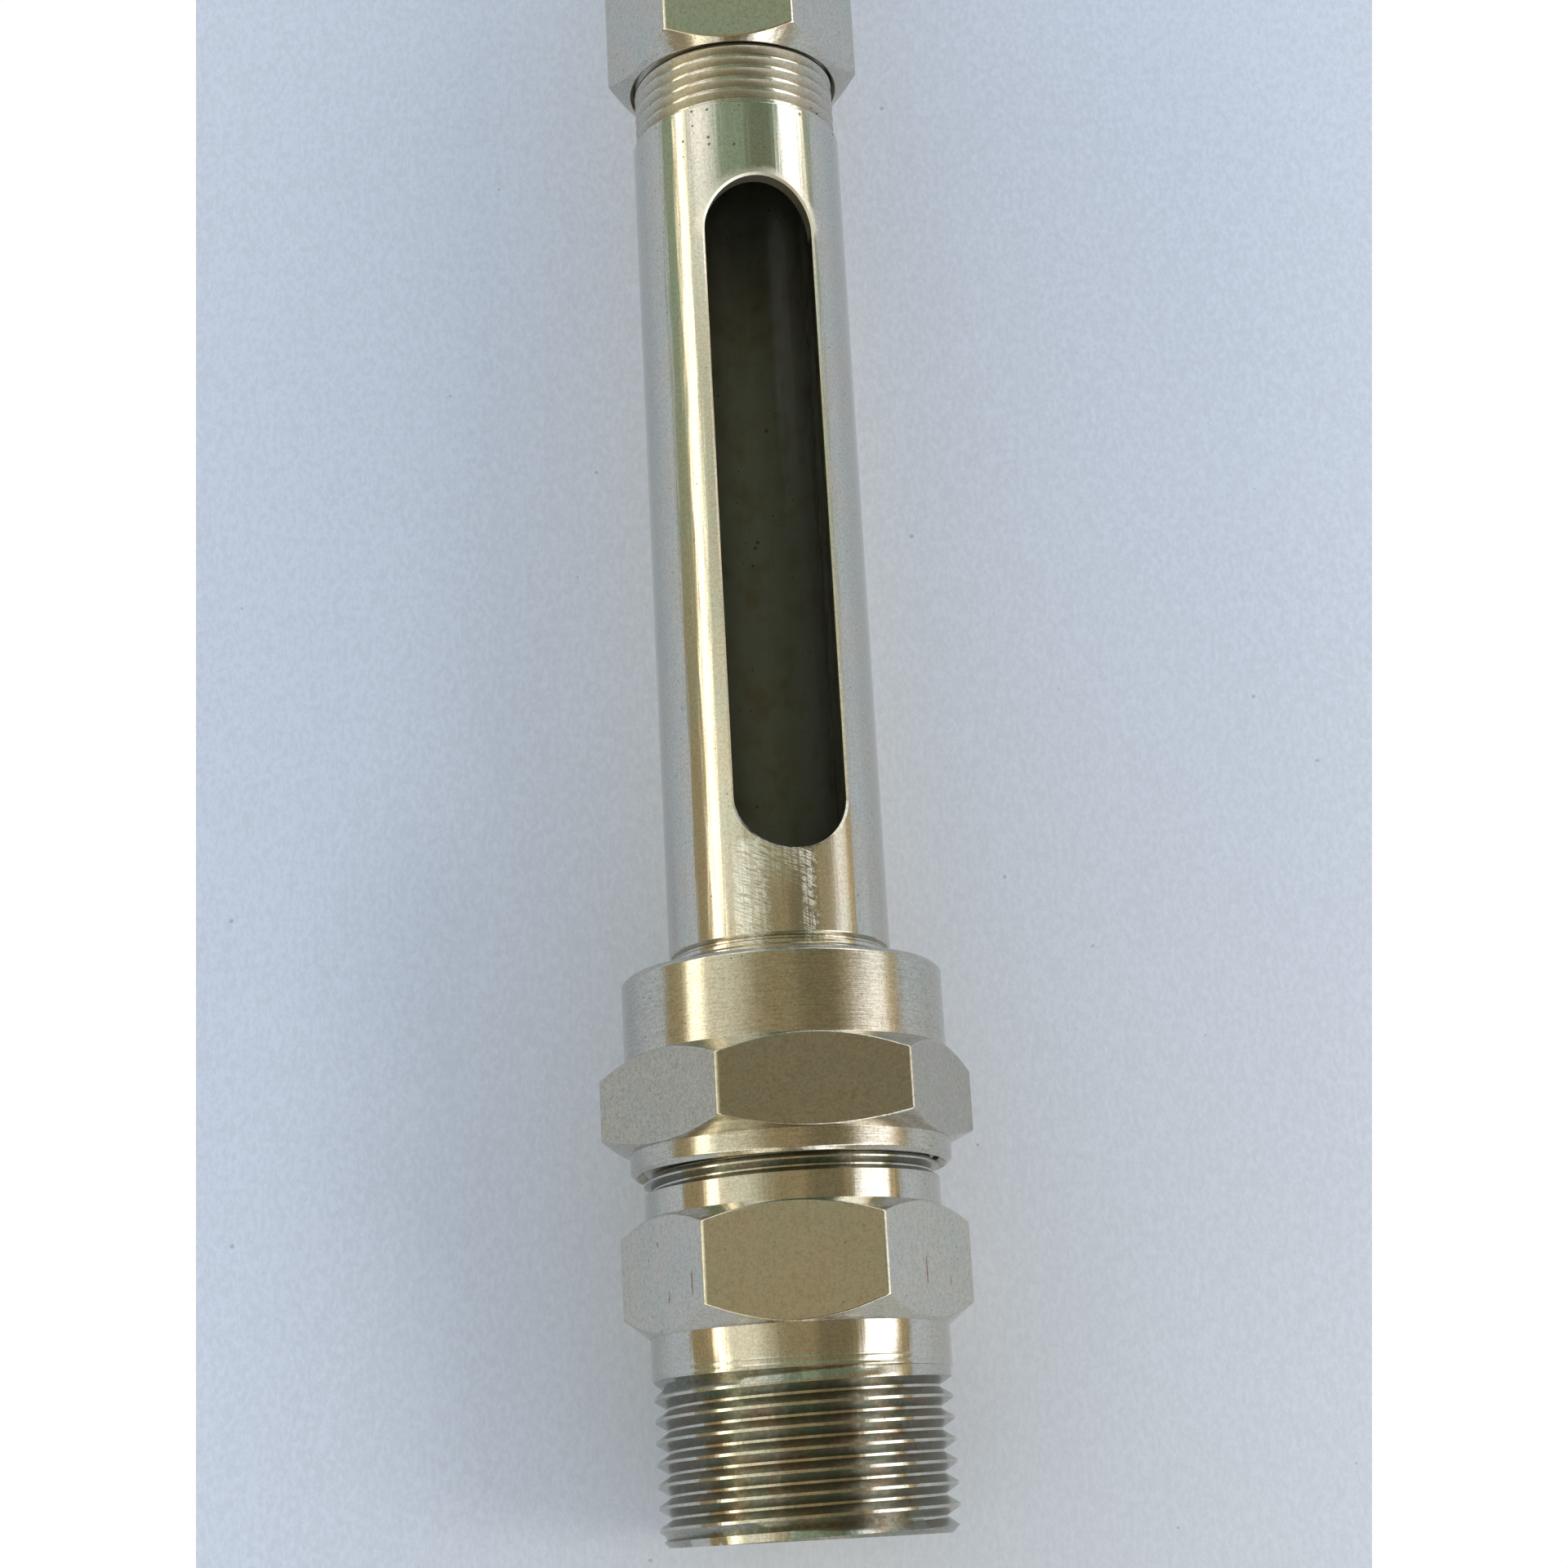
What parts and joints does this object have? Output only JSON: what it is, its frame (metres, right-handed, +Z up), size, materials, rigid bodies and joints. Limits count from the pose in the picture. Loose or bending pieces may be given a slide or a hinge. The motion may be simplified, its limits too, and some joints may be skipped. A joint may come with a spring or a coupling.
{
  "type": "tubular sight glass",
  "caption": "Straight tubular sight glass: slotted steel guard tube over a glass tube, with a gland nut and hexagon pipe fittings at its ends.",
  "frame": {"origin": "centre of the lower pipe thread's end face", "axes": "+Z up the tube from the lower pipe thread to the upper one; the viewing slot faces -Y"},
  "size_m": [0.0428, 0.0378, 0.216],
  "materials": {
    "turned_steel": "turned stainless bar, satin flats",
    "nut_steel": "fine turned stainless",
    "tube_steel": "polished stainless tube",
    "plain_steel": "machined stainless",
    "clear_glass": "clear borosilicate",
    "packing_ptfe": "white PTFE",
    "gasket_rubber": "black rubber"
  },
  "bodies": {
    "base": {"lower_body": "turned_steel", "lower_seat_gasket": "gasket_rubber", "lower_packing_washer": "plain_steel", "lower_packing_ring_1": "packing_ptfe", "lower_packing_ring_2": "packing_ptfe", "lower_packing_ring_3": "packing_ptfe", "glass_tube": "clear_glass"},
    "lower_follower": {"lower_gland_ring": "plain_steel"},
    "nut_and_tube": {"gland_nut": "nut_steel", "guard_tube": "tube_steel"},
    "upper_seals": {"upper_gland_ring": "plain_steel", "upper_packing_ring_1": "packing_ptfe", "upper_packing_ring_2": "packing_ptfe", "upper_packing_ring_3": "packing_ptfe", "upper_packing_washer": "plain_steel", "upper_seat_gasket": "gasket_rubber"},
    "upper_fitting": {"upper_body": "turned_steel"}
  },
  "joints": [
    {"name": "nut_lift", "type": "slide", "parent": "base", "child": "lower_follower", "axis": [0, 0, 1], "range_m": [0, 0.0105]},
    {"name": "nut_turn", "type": "hinge", "parent": "lower_follower", "child": "nut_and_tube", "pos_m": [0, 0, 0.05], "axis": [0, 0, 1], "range_deg": [0, 2520]},
    {"name": "fitting_lift", "type": "slide", "parent": "nut_and_tube", "child": "upper_seals", "axis": [0, 0, 1], "range_m": [0, 0.0075]},
    {"name": "fitting_turn", "type": "hinge", "parent": "upper_seals", "child": "upper_fitting", "pos_m": [0, 0, 0.18], "axis": [0, 0, 1], "range_deg": [0, 1800]}
  ],
  "couplings": [
    {"joint": "nut_lift", "follows": "nut_turn", "m_per_rad": 0.00023873},
    {"joint": "fitting_lift", "follows": "fitting_turn", "m_per_rad": 0.00023873}
  ]
}
